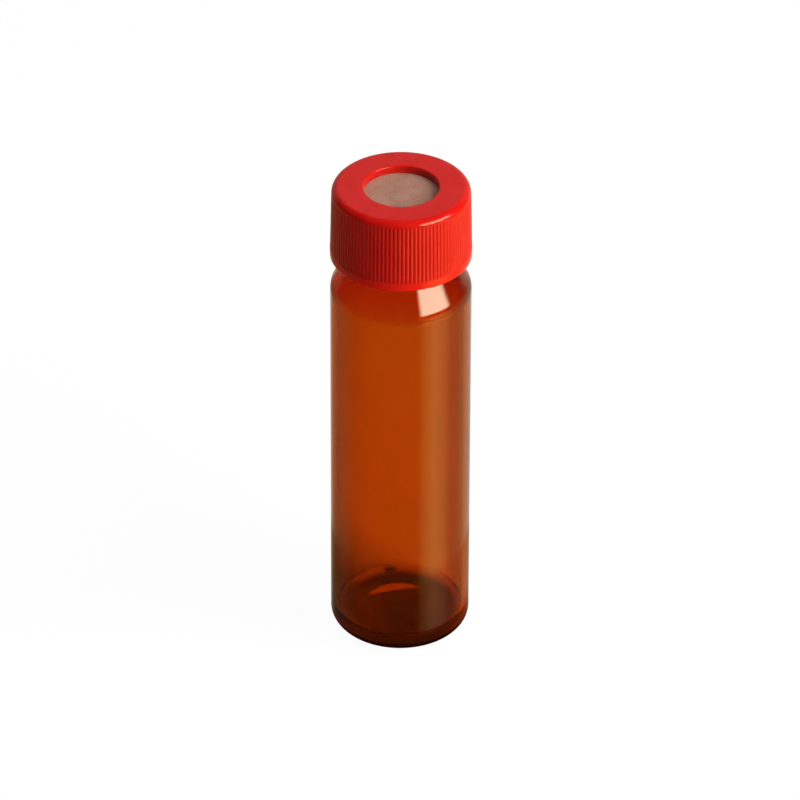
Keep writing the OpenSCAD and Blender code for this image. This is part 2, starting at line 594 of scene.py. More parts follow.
@dataclass(frozen=True)
class MouldedPlastic:
    """Satin moulded polypropylene with a fine spark-eroded grain and soft flow patches.

    Attributes:
        colour: Colour of the plastic.
        flow_colour: Colour of the flow patches.
        band_painted_light: Lighter colour of the smooth band round the skirt's foot: painted light.
        band_z: Heights between which the band's painted light ends.
        ior: Index of refraction.
        gloss: Level of the mirror-like reflection.
        glow: Share of the light that is carried inside the plastic.
        glow_reach: How far each colour of light is carried, as a share of the depth.
        glow_depth: How deep it is carried.
        surface: Settings of the shared surface group.
        grain_height: Height of the grain.
    """

    colour: Colour = (0.46, 0.007, 0.004)
    flow_colour: Colour = (0.43, 0.005, 0.003)
    band_painted_light: Colour = (0.57, 0.009, 0.003)
    band_z: Span = (0.0865, 0.0870)
    ior: float = 1.49
    gloss: float = 0.32
    glow: float = 0.35
    glow_reach: Place = (1.0, 0.06, 0.04)
    glow_depth: float = 0.0012
    surface: Surface = Surface(mottle_scale=260.0, grain_scale=5200.0, roughness=0.14, spread=0.05)
    grain_height: float = 0.000003

    def material(self) -> bpy.types.Material:
        """Builds the plastic: patches and band in the colour, grain in the roughness and relief.

        Returns:
            The material.
        """
        material, wiring, shader, _ = start_material("red_polypropylene")
        group = self.surface.add_to(wiring).outputs
        # Painted light: the smooth band round the skirt's foot gets a lighter red than the skirt.
        band_light_share = wiring.remap(wiring.along("Z"), self.band_z, FALLING)
        skirt = wiring.mix(group["Mottle"], rgba(self.colour), rgba(self.flow_colour))
        inputs = {
            "Base Color": wiring.mix(band_light_share, skirt, rgba(self.band_painted_light)),
            "Roughness": group["Roughness"],
            "Normal": wiring.bump(group["Grain"], self.grain_height),
            "IOR": self.ior,
            "Specular IOR Level": self.gloss,
            "Subsurface Weight": self.glow,
            "Subsurface Radius": self.glow_reach,
            "Subsurface Scale": self.glow_depth,
        }
        wiring.feed(shader, inputs)
        return material


@dataclass(frozen=True)
class Silicone:
    """Matt beige silicone with pale specks of filler.

    Attributes:
        colour: Colour of the silicone.
        filler: Colour of its darker patches.
        speck: Colour of the specks.
        speck_scale: Scale of the noise that sets the specks, to the metre.
        speck_detail: Octaves of that noise.
        speck_range: Values of that noise between which a speck starts.
        speck_share: How much of its colour a speck shows.
        ior: Index of refraction.
        surface: Settings of the shared surface group.
        grain_height: Height of the grain.
    """

    colour: Colour = (0.295, 0.154, 0.111)
    filler: Colour = (0.257, 0.125, 0.087)
    speck: Colour = (0.42, 0.27, 0.21)
    speck_scale: float = 2600.0
    speck_detail: float = 1.0
    speck_range: Span = (0.62, 0.74)
    speck_share: float = 0.6
    ior: float = 1.41
    surface: Surface = Surface(mottle_scale=420.0, grain_scale=3800.0, roughness=0.62, spread=0.15)
    grain_height: float = 0.00001

    def material(self) -> bpy.types.Material:
        """Builds the silicone: mottled colour with specks, and a low grain.

        Returns:
            The material.
        """
        material, wiring, shader, _ = start_material("beige_silicone")
        group = self.surface.add_to(wiring).outputs
        noise = wiring.noise(wiring.place(), self.speck_scale, self.speck_detail)
        specks = wiring.remap(noise, self.speck_range, (0.0, self.speck_share))
        mottled = wiring.mix(group["Mottle"], rgba(self.colour), rgba(self.filler))
        inputs = {
            "Base Color": wiring.mix(specks, mottled, rgba(self.speck)),
            "Roughness": group["Roughness"],
            "Normal": wiring.bump(group["Grain"], self.grain_height),
            "IOR": self.ior,
        }
        wiring.feed(shader, inputs)
        return material


@dataclass(frozen=True)
class SkivedFilm:
    """White fluoropolymer film, with the fine parallel streaks that its skiving knife leaves.

    Attributes:
        colour: Colour of the film.
        streak_colour: Colour of the streaks.
        streak_scale: Streaks to the metre across their run.
        streak_stretch: Scale of the streaks along their run, as a share of that across it.
        streak_detail: Octaves of the noise that makes the streaks.
        streak_range: Values of that noise between which a streak starts.
        streak_height: Height of the streaks.
        ior: Index of refraction.
        surface: Settings of the shared surface group.
    """

    colour: Colour = (0.80, 0.79, 0.76)
    streak_colour: Colour = (0.72, 0.71, 0.68)
    streak_scale: float = 2400.0
    streak_stretch: float = 0.04
    streak_detail: float = 2.0
    streak_range: Span = (0.4, 0.65)
    streak_height: float = 0.000004
    ior: float = 1.35
    surface: Surface = Surface(mottle_scale=300.0, grain_scale=3000.0, roughness=0.38, spread=0.1)

    def material(self) -> bpy.types.Material:
        """Builds the film: streaks in the colour and the relief.

        Returns:
            The material.
        """
        material, wiring, shader, _ = start_material("white_film")
        group = self.surface.add_to(wiring).outputs
        stretched = wiring.place((1.0, self.streak_stretch, 1.0))
        streaks = wiring.noise(stretched, self.streak_scale, self.streak_detail)
        share = wiring.times(wiring.remap(streaks, self.streak_range, RISING), group["Mottle"])
        inputs = {
            "Base Color": wiring.mix(share, rgba(self.colour), rgba(self.streak_colour)),
            "Roughness": group["Roughness"],
            "Normal": wiring.bump(streaks, self.streak_height),
            "IOR": self.ior,
        }
        wiring.feed(shader, inputs)
        return material


# Pieces


@dataclass(frozen=True)
class ScrewThread:
    """A one-start right-hand thread that runs down from its top end.

    Attributes:
        top_z: Height of the thread's middle at its top end.
        turns: Number of turns.
        section: The thread's height over its wall at growing distances from its middle.
        pitch: Rise in one turn.
        fade: Share of a turn over which each end fades out.
    """

    top_z: float
    turns: float
    section: tuple[Span, ...]
    pitch: float = 0.003175
    fade: float = 40.0 / 360.0

    def height(self, angle: np.ndarray, z: np.ndarray) -> np.ndarray:
        """Height of the thread over its wall at every angle and height.

        After t turns the thread's middle is at the angle -2 pi t and the height top_z - pitch t. A
        point is off that middle by d = z - top_z + pitch t, and the height is section(|d|) times a
        smooth fade from each end. The largest of the turns that pass an angle counts.

        Args:
            angle: Angle of each column.
            z: Height of each row.

        Returns:
            The height at each row and column.
        """
        off, tall = np.asarray(self.section).T
        best = np.zeros(np.broadcast(angle, z).shape)
        for k in range(math.ceil(self.turns) + 1):
            turn = k - angle / TURN
            faded = smooth_step(np.minimum(turn, self.turns - turn) / self.fade)
            distance = np.abs(z - self.top_z + self.pitch * turn)
            best = np.maximum(best, np.interp(distance, off, tall, right=0.0) * faded)
        return best


@dataclass
class GlassVial:
    """The blown glass: base, wall, shoulder, neck with its thread, and lip, as one closed skin.

    Attributes:
        outer_r: Outer radius of the wall.
        height: Height of the lip over the resting ring.
        wall_t: Thickness of the wall.
        base_t: Height of the inner floor's edge over the resting ring.
        push_up: Rise of the underside and of the inner floor in their middle.
        heel_r: Rounding of the outer edge at the base.
        floor_r: Rounding of the inner edge at the floor.
        ring_w: Width of the flat resting ring.
        shoulder_h: Height from the wall's end to the neck's foot.
        shoulder_r: Outer radius where the wall turns into the shoulder.
        shoulder_drop: How much lower the inner shoulder lies than the outer one.
        shoulder_in_r: Inner radius where the wall turns into the shoulder.
        neck_fillet: Outer radius where the shoulder turns into the neck.
        neck_r: Outer radius of the neck without its thread.
        neck_h: Height of the neck.
        neck_t: Thickness of the neck.
        lip_r: Rounding of the lip's two edges.
        sway: How far the bore sways from round.
        sway_waves: Waves of the sway, as waves round the axis, radians a metre up it, and size.
        columns: Columns round the axis.
        wall_rows: Rows of the wall, outside and inside.
        neck_rows: Rows of the neck's outside, fine enough for the thread.
        mouth_rows: Rows of the neck's inside.
        ring_rows: Rows of the resting ring.
        heel_steps: Steps in the rounding of the heel.
        curve_steps: Steps in each rounding of the shoulder and the floor.
        lip_steps: Steps in each rounding of the lip.
        finish: The glass.
        thread: The neck's thread.
    """

    outer_r: float = 0.013625
    height: float = 0.0955
    wall_t: float = 0.0012
    base_t: float = 0.0020
    push_up: float = 0.0006
    heel_r: float = 0.003
    floor_r: float = 0.003
    ring_w: float = 0.0009
    shoulder_h: float = 0.0073
    shoulder_r: float = 0.004
    shoulder_drop: float = 0.001
    shoulder_in_r: float = 0.001
    neck_fillet: float = 0.0022
    neck_r: float = 0.0106
    neck_h: float = 0.0108
    neck_t: float = 0.0022
    lip_r: float = 0.0006
    sway: float = 0.00003
    sway_waves: tuple[Place, ...] = ((2.0, 60.0, 1.0), (3.0, -90.0, 0.5))
    columns: int = 192
    wall_rows: int = 24
    neck_rows: int = 84
    mouth_rows: int = 8
    ring_rows: int = 2
    heel_steps: int = 18
    curve_steps: int = 14
    lip_steps: int = 8
    finish: AmberGlass = AmberGlass()
    thread: ScrewThread = ScrewThread(
        top_z=0.093135,
        turns=1.4,
        section=(
            (0.0, 0.0012),
            (0.0002, 0.00119),
            (0.00035, 0.00114),
            (0.0005, 0.00104),
            (0.000675, 0.00087),
            (0.0009, 0.0005),
            (0.00108, 0.00021),
            (0.0012, 0.00009),
            (0.00135, 0.00002),
            (0.0015, 0.0),
        ),
    )

    def shoulder(
        self, low_r: float, high_r: float, low_arc: float, high_arc: float, drop: float = 0.0
    ) -> Points:
        """Curve from the wall up to the neck: an arc, a slope that touches both arcs, an arc.

        The slope's angle from upright is asin((a + b) / |(s, h)|) - atan2(s, h), with a and b the
        arcs' radii, h the shoulder's height and s = a + b - (low_r - high_r).

        Args:
            low_r: Radius of the wall.
            high_r: Radius of the neck.
            low_arc: Radius of the arc that leaves the wall.
            high_arc: Radius of the arc that meets the neck.
            drop: How far the whole curve is lowered.

        Returns:
            The points, from the wall up.
        """
        side = low_arc + high_arc - (low_r - high_r)
        reach = math.hypot(side, self.shoulder_h)
        slope = math.asin((low_arc + high_arc) / reach) - math.atan2(side, self.shoulder_h)
        neck_z = self.height - self.neck_h - drop
        low_centre = (low_r - low_arc, neck_z - self.shoulder_h)
        high_centre = (high_r + high_arc, neck_z)
        return join(
            arc(low_centre, low_arc, 0.0, slope, self.curve_steps),
            arc(high_centre, high_arc, math.pi + slope, math.pi, self.curve_steps),
        )

    def outside(self) -> Points:
        """Outline from the middle of the underside, up the outside, to the top of the lip.

        Returns:
            The points, from the axis up.
        """
        ring_r = self.outer_r - self.heel_r
        neck_z = self.height - self.neck_h
        wall_z = neck_z - self.shoulder_h
        lip_z = self.height - self.lip_r
        return join(
            dome(ring_r - self.ring_w, 0.0, self.push_up),
            line((ring_r - self.ring_w, 0.0), (ring_r, 0.0), self.ring_rows),
            arc((ring_r, self.heel_r), self.heel_r, -UPRIGHT, 0.0, self.heel_steps),
            line((self.outer_r, self.heel_r), (self.outer_r, wall_z), self.wall_rows),
            self.shoulder(self.outer_r, self.neck_r, self.shoulder_r, self.neck_fillet),
            line((self.neck_r, neck_z), (self.neck_r, lip_z), self.neck_rows),
            arc((self.neck_r - self.lip_r, lip_z), self.lip_r, 0.0, UPRIGHT, self.lip_steps),
        )

    def inside(self) -> Points:
        """Outline from the top of the lip, down the inside, to the middle of the floor.

        Returns:
            The points, down to the axis.
        """
        bore_r = self.outer_r - self.wall_t
        mouth_r = self.neck_r - self.neck_t
        mouth_z = self.height - self.neck_h - self.shoulder_drop
        wall_z = mouth_z - self.shoulder_h
        lip_z = self.height - self.lip_r
        edge_r = bore_r - self.floor_r
        edge_z = self.base_t + self.floor_r
        fillet = self.neck_fillet + self.neck_t
        rising = join(
            dome(edge_r, self.base_t, self.push_up),
            arc((edge_r, edge_z), self.floor_r, -UPRIGHT, 0.0, self.curve_steps),
            line((bore_r, edge_z), (bore_r, wall_z), self.wall_rows),
            self.shoulder(bore_r, mouth_r, self.shoulder_in_r, fillet, self.shoulder_drop),
            line((mouth_r, mouth_z), (mouth_r, lip_z), self.mouth_rows),
            arc((mouth_r + self.lip_r, lip_z), self.lip_r, math.pi, UPRIGHT, self.lip_steps),
        )
        return rising[::-1]

    def build(self) -> bpy.types.Object:
        """Turns the outline about the axis, with the thread raised and the bore swaying a little.

        The outer radius is the outline's plus the thread's height. The inner radius is the
        outline's times 1 + sway / outer_r * (sin(2a + 60 z) + sin(3a - 90 z) / 2), as in drawn tube.

        Returns:
            The dressed piece.
        """
        angle = column_angles(self.columns)
        outside, inside = self.outside(), self.inside()
        outline = join(outside, inside)
        r, z = outline[1:-1, :1], outline[1:-1, 1:]
        is_outer = (np.arange(len(r)) < len(outside) - 1)[:, None]
        on_neck = is_outer & (r > self.neck_r - SAME_PLACE) & (z > self.height - self.neck_h)
        raised = r + np.where(on_neck, self.thread.height(angle, z), 0.0)
        wave = sum(size * np.sin(around * angle + up * z) for around, up, size in self.sway_waves)
        swayed = r * (1.0 + self.sway / self.outer_r * wave)
        points, polygons = lathe(outline, np.where(is_outer, raised, swayed), angle)
        piece = build_piece("glass_vial", points, polygons)
        return dress(piece, self.finish.material(), Body.VIAL, Slot.VIAL)


@dataclass
class ScrewCap:
    """The moulded cap: ribbed skirt, smooth band, rounded top edge, hole, and thread inside.

    Attributes:
        low_z: Height of the skirt's foot.
        top_z: Height of the flat top.
        plate_z: Height of the top plate's underside.
        cavity_r: Radius of the cap's inside.
        skirt_low_r: Radius of the skirt just over the band.
        skirt_top_r: Radius of the skirt under the rounded top edge.
        band_r: Radius of the band.
        band_z: Height of the skirt's start over the band.
        ledge: Height of the slope between the two.
        edge: Rounding and chamfer at the skirt's foot.
        top_edge_r: Rounding of the top edge.
        hole_r: Radius of the hole.
        hole_edge_r: Rounding of the hole's upper edge.
        thread_end_z: Height over which the inside is smooth.
        flat_step: Width of the ring of polygons that joins the finer outside to the coarser inside
            at the top, and of the flat inside the ring at the foot.
        ribs: Number of ribs.
        groove_depth: Depth of the grooves between them.
        groove_fade: Heights over the side's end between which the grooves end.
        groove_run: Height over the band's end in which the grooves start.
        rib_offsets: Places of the columns from the middle of a groove, as shares of a rib's width.
        rib_depths: Depth of the groove at each of them, as a share of its depth.
        coarse: Columns outside for each column inside.
        thread_rows: Rows of the inside that carry the thread.
        band_rows: Rows of the band.
        side_rows: Rows of the ribbed side.
        end_rows: Rows of the side's end, where the grooves begin to fade.
        top_rows: Rows of the flat top.
        plain_rows: Rows of the hole's wall, the plate's underside and the smooth inside.
        chamfer_rows: Rows of the chamfer.
        edge_steps: Steps in the rounding of the foot and of the hole's edge.
        top_edge_steps: Steps in the rounding of the top edge.
        sharp: Angle in degrees past which an edge is left sharp.
        finish: The plastic.
        thread: The thread inside.
    """

    low_z: float = 0.08515
    top_z: float = 0.1003
    plate_z: float = 0.0987
    cavity_r: float = 0.0121
    skirt_low_r: float = 0.013625
    skirt_top_r: float = 0.013365
    band_r: float = 0.01367
    band_z: float = 0.0869
    ledge: float = 0.00018
    edge: float = 0.0003
    top_edge_r: float = 0.00145
    hole_r: float = 0.00725
    hole_edge_r: float = 0.00025
    thread_end_z: float = 0.0931
    flat_step: float = 0.0003
    ribs: int = 108
    groove_depth: float = 0.00013
    groove_fade: Span = (-0.0001, 0.0003)
    groove_run: float = 0.0003
    rib_offsets: tuple[float, ...] = (-0.42, -0.30, -0.14, 0.0, 0.14, 0.30, 0.42, 0.5)
    rib_depths: tuple[float, ...] = (0.02, 0.14, 0.86, 1.0, 0.86, 0.14, 0.02, 0.0)
    coarse: int = 4
    thread_rows: int = 64
    band_rows: int = 8
    side_rows: int = 6
    end_rows: int = 3
    top_rows: int = 4
    plain_rows: int = 3
    chamfer_rows: int = 2
    edge_steps: int = 6
    top_edge_steps: int = 16
    sharp: float = 65.0
    finish: MouldedPlastic = MouldedPlastic()
    thread: ScrewThread = ScrewThread(
        top_z=0.0915475,
        turns=1.46,
        section=(
            (0.0, 0.0012),
            (0.0003, 0.00119),
            (0.0004, 0.00112),
            (0.0009, 0.00027),
            (0.00102, 0.0001),
            (0.0012, 0.0),
        ),
    )

    def side_point(self, z: float) -> Span:
        """Point of the skirt's tapered side at a height.

        Args:
            z: The height.

        Returns:
            The point's radius and height.
        """
        side_z = self.top_z - self.top_edge_r
        share = (z - self.band_z) / (side_z - self.band_z)
        return (self.skirt_low_r + (self.skirt_top_r - self.skirt_low_r) * share, z)

    def outer_outline(self) -> Points:
        """Outline from the foot of the skirt, up the outside, to the flat of the top.

        Returns:
            The points, from the foot up.
        """
        side_z = self.top_z - self.top_edge_r
        foot_z = self.low_z + self.edge
        draft = math.atan2(self.skirt_low_r - self.skirt_top_r, side_z - self.band_z)
        start = self.side_point(self.band_z + self.groove_run)
        fading = self.side_point(side_z + self.groove_fade[0])
        top_centre = (self.skirt_top_r - self.top_edge_r, side_z)
        return join(
            arc((self.band_r - self.edge, foot_z), self.edge, -UPRIGHT, 0.0, self.edge_steps),
            line((self.band_r, foot_z), (self.band_r, self.band_z - self.ledge), self.band_rows),
            line((self.skirt_low_r, self.band_z), start),
            line(start, fading, self.side_rows),
            line(fading, self.side_point(side_z), self.end_rows),
            arc(top_centre, self.top_edge_r, draft, UPRIGHT, self.top_edge_steps),
        )

    def inner_outline(self) -> Points:
        """Outline from the flat of the top, through the hole and down the inside, to the foot.

        Returns:
            The points, from the top down.
        """
        flat_r = self.skirt_top_r - self.top_edge_r - self.flat_step
        foot_r = self.cavity_r + self.edge
        foot_z = self.low_z + self.edge
        rim_r = self.hole_r + self.hole_edge_r
        rim_z = self.top_z - self.hole_edge_r
        return join(
            line((flat_r, self.top_z), (rim_r, self.top_z), self.top_rows),
            arc((rim_r, rim_z), self.hole_edge_r, UPRIGHT, math.pi, self.edge_steps),
            line((self.hole_r, rim_z), (self.hole_r, self.plate_z), self.plain_rows),
            line((self.hole_r, self.plate_z), (self.cavity_r, self.plate_z), self.plain_rows),
            line((self.cavity_r, self.plate_z), (self.cavity_r, self.thread_end_z), self.plain_rows),
            line((self.cavity_r, self.thread_end_z), (self.cavity_r, foot_z), self.thread_rows),
            line((self.cavity_r, foot_z), (foot_r, self.low_z), self.chamfer_rows),
            line((foot_r, self.low_z), (foot_r + self.flat_step, self.low_z)),
        )

    def ribbed(self, outer: Points) -> tuple[np.ndarray, np.ndarray]:
        """Cuts the grooves into the outside.

        The radius is the outline's minus the groove's depth at that column, times the smooth step
        s^2 (3 - 2s), which ends the grooves where the top edge begins to round.

        Args:
            outer: The outline of the outside.

        Returns:
            The angle of each column, and the radius of each row and column.
        """
        rib = np.arange(self.ribs)[:, None] + np.asarray(self.rib_offsets)
        angle = (rib * TURN / self.ribs).ravel()
        depth = np.tile(np.asarray(self.rib_depths) * self.groove_depth, self.ribs)
        low, high = self.top_z - self.top_edge_r + np.asarray(self.groove_fade)
        r, z = outer[:, :1], outer[:, 1:]
        grooved = (z > self.band_z + self.groove_run / 2) * smooth_step((high - z) / (high - low))
        return angle, r - depth * grooved

    def threaded(self, inner: Points, angle: np.ndarray) -> np.ndarray:
        """Raises the thread on the inside of the skirt, by taking its height from the radius.

        Args:
            inner: The outline of the inside.
            angle: Angle of each column.

        Returns:
            The radius of each row and column.
        """
        r, z = inner[:, :1], inner[:, 1:]
        on_wall = np.abs(r - self.cavity_r) < SAME_PLACE
        return r - np.where(on_wall, self.thread.height(angle % TURN, z), 0.0)

    def build(self) -> bpy.types.Object:
        """Joins the ribbed outside to the coarser inside at the flats of the top and the foot.

        Returns:
            The dressed piece.
        """
        outer, inner = self.outer_outline(), self.inner_outline()
        angle, outer_r = self.ribbed(outer)
        few = angle[:: self.coarse]
        outer_points = grid_points(outer_r, outer[:, 1], angle)
        inner_points = grid_points(self.threaded(inner, few), inner[:, 1], few)
        start = len(outer_points)
        fine, count = np.arange(len(angle)), np.arange(len(few))
        top_ring = (len(outer) - 1) * len(angle) + fine
        foot_ring = start + (len(inner) - 1) * len(few) + count
        polygons = [
            grid_quads(len(outer), len(angle)),
            grid_quads(len(inner), len(few), start),
            collar(top_ring, start + count, self.coarse, True),
            collar(fine, foot_ring, self.coarse, False),
        ]
        points = np.concatenate((outer_points, inner_points))
        piece = build_piece("screw_cap", points, polygons, math.radians(self.sharp))
        return dress(piece, self.finish.material(), Body.CAP, Slot.CAP)


@dataclass
class Disc:
    """A round disc with rounded edges, whose upper face may swell into the hole above it.

    Attributes:
        name: The piece's name.
        slot: Its slot and the node that it stands for.
        finish: Its finish.
        low_z: Height of its underside.
        high_z: Height of its upper face.
        edge: Rounding of its edges.
        swell: Rise of the upper face on the axis.
        swell_r: Radius at which the swelling ends.
        radius: Outer radius.
        columns: Columns round the axis.
        low_rows: Rows of the underside.
        high_rows: Rows of the upper face.
        edge_steps: Steps in the rounding of each edge.
    """

    name: str
    slot: Slot
    finish: Silicone | SkivedFilm
    low_z: float
    high_z: float
    edge: float
    swell: float = 0.0
    swell_r: float = 0.0071
    radius: float = 0.011
    columns: int = 144
    low_rows: int = 12
    high_rows: int = 30
    edge_steps: int = 6

    def build(self) -> bpy.types.Object:
        """Turns the disc's outline. The swelling adds swell * (1 - (r / swell_r)^2)^2.

        Returns:
            The dressed piece.
        """
        inner = self.radius - self.edge
        outline = join(
            line((0.0, self.low_z), (inner, self.low_z), self.low_rows),
            arc((inner, self.low_z + self.edge), self.edge, -UPRIGHT, 0.0, self.edge_steps),
            arc((inner, self.high_z - self.edge), self.edge, 0.0, UPRIGHT, self.edge_steps),
            line((inner, self.high_z), (0.0, self.high_z), self.high_rows),
        )
        on_top = outline[:, 1] > self.high_z - SAME_PLACE
        share = np.clip(1.0 - (outline[:, 0] / self.swell_r) ** 2, 0.0, 1.0)
        outline[:, 1] += np.where(on_top, self.swell * share**2, 0.0)
        angle = column_angles(self.columns)
        radius = np.broadcast_to(outline[1:-1, :1], (len(outline) - 2, self.columns))
        points, polygons = lathe(outline, radius, angle)
        piece = build_piece(self.name, points, polygons)
        return dress(piece, self.finish.material(), Body.SEPTUM, self.slot)


@dataclass
class Septum:
    """The two-layer septum: the soft disc, and the thin facing on its underside.

    Attributes:
        lip_z: Height of the lip that the facing lies on.
        facing_t: Thickness of the facing.
        facing_edge: Rounding of the facing's edges.
        soft_t: Thickness of the soft disc.
        soft_edge: Rounding of the soft disc's edges.
        swell: Rise of the soft disc's middle into the cap's hole.
    """

    lip_z: float = 0.0955
    facing_t: float = 0.00015
    facing_edge: float = 0.00004
    soft_t: float = 0.00305
    soft_edge: float = 0.00018
    swell: float = 0.00012

    def build(self) -> list[bpy.types.Object]:
        """Builds the facing and the soft disc.

        Returns:
            The two pieces.
        """
        middle = self.lip_z + self.facing_t
        top = middle + self.soft_t
        facing = Disc(
            "septum_film",
            Slot.FACING,
            SkivedFilm(),
            low_z=self.lip_z,
            high_z=middle,
            edge=self.facing_edge,
        )
        soft = Disc(
            "septum_disc",
            Slot.SEPTUM,
            Silicone(),
            low_z=middle,
            high_z=top,
            edge=self.soft_edge,
            swell=self.swell,
        )
        return [facing.build(), soft.build()]


# Studio


def heading(azimuth: float, elevation: float) -> Vector:
    """Direction from the object, by degrees to the right of the camera and above the floor."""
    a, e = math.radians(azimuth), math.radians(elevation)
    return Vector((math.sin(a) * math.cos(e), -math.cos(a) * math.cos(e), math.sin(e)))


def standing(azimuth: float, distance: float, z: float) -> Vector:
    """Place at a distance from the axis and a height, by degrees to the right of the camera."""
    return heading(azimuth, 0.0) * distance + Vector((0.0, 0.0, z))


def ray_kinds(wiring: Wiring) -> tuple[Socket, Socket, Socket]:
    """Tells the kinds of rays apart.

    A ray that clear glass bends may count as glossy too, so bent rays are taken out of that kind.

    Args:
        wiring: The wiring of the material or world.

    Returns:
        Whether a ray is the camera's, mirrored by a surface, or bent through the glass.
    """
    path = wiring.add("ShaderNodeLightPath").outputs
    bent = path["Is Transmission Ray"]
    mirrored = wiring.times(path["Is Glossy Ray"], wiring.math("SUBTRACT", 1.0, bent))
    return path["Is Camera Ray"], mirrored, bent


@dataclass(frozen=True)
class SoftBox:
    """A rectangular soft light that faces a point of the object.

    Attributes:
        name: The lamp's name.
        place: Where its middle stands.
        aim_z: Height of the point on the axis that it faces.
        width: Its width.
        height: Its height.
        radiance: Its brightness, on the scale where a white floor in full light is about 1.
    """

    name: str
    place: Vector
    aim_z: float
    width: float
    height: float
    radiance: float

    def build(self) -> bpy.types.Object:
        """Makes the lamp. Its power is radiance * pi * area.

        Neither the camera nor a mirrored ray sees it. The room holds what polished surfaces mirror.

        Returns:
            The lamp's object.
        """
        lamp = bpy.data.lights.new(self.name, "AREA")
        lamp.shape = "RECTANGLE"
        lamp.size, lamp.size_y = self.width, self.height
        lamp.energy = self.radiance * math.pi * self.width * self.height
        holder = bpy.data.objects.new(self.name, lamp)
        holder.location = self.place
        holder.rotation_mode = "QUATERNION"
        away = self.place - Vector((0.0, 0.0, self.aim_z))
        holder.rotation_quaternion = away.to_track_quat("Z", "Y")
        holder.visible_camera = False
        holder.visible_glossy = False
        bpy.context.scene.collection.objects.link(holder)
        LOG.info("%s: %.2f by %.2f m", self.name, self.width, self.height)
        return holder


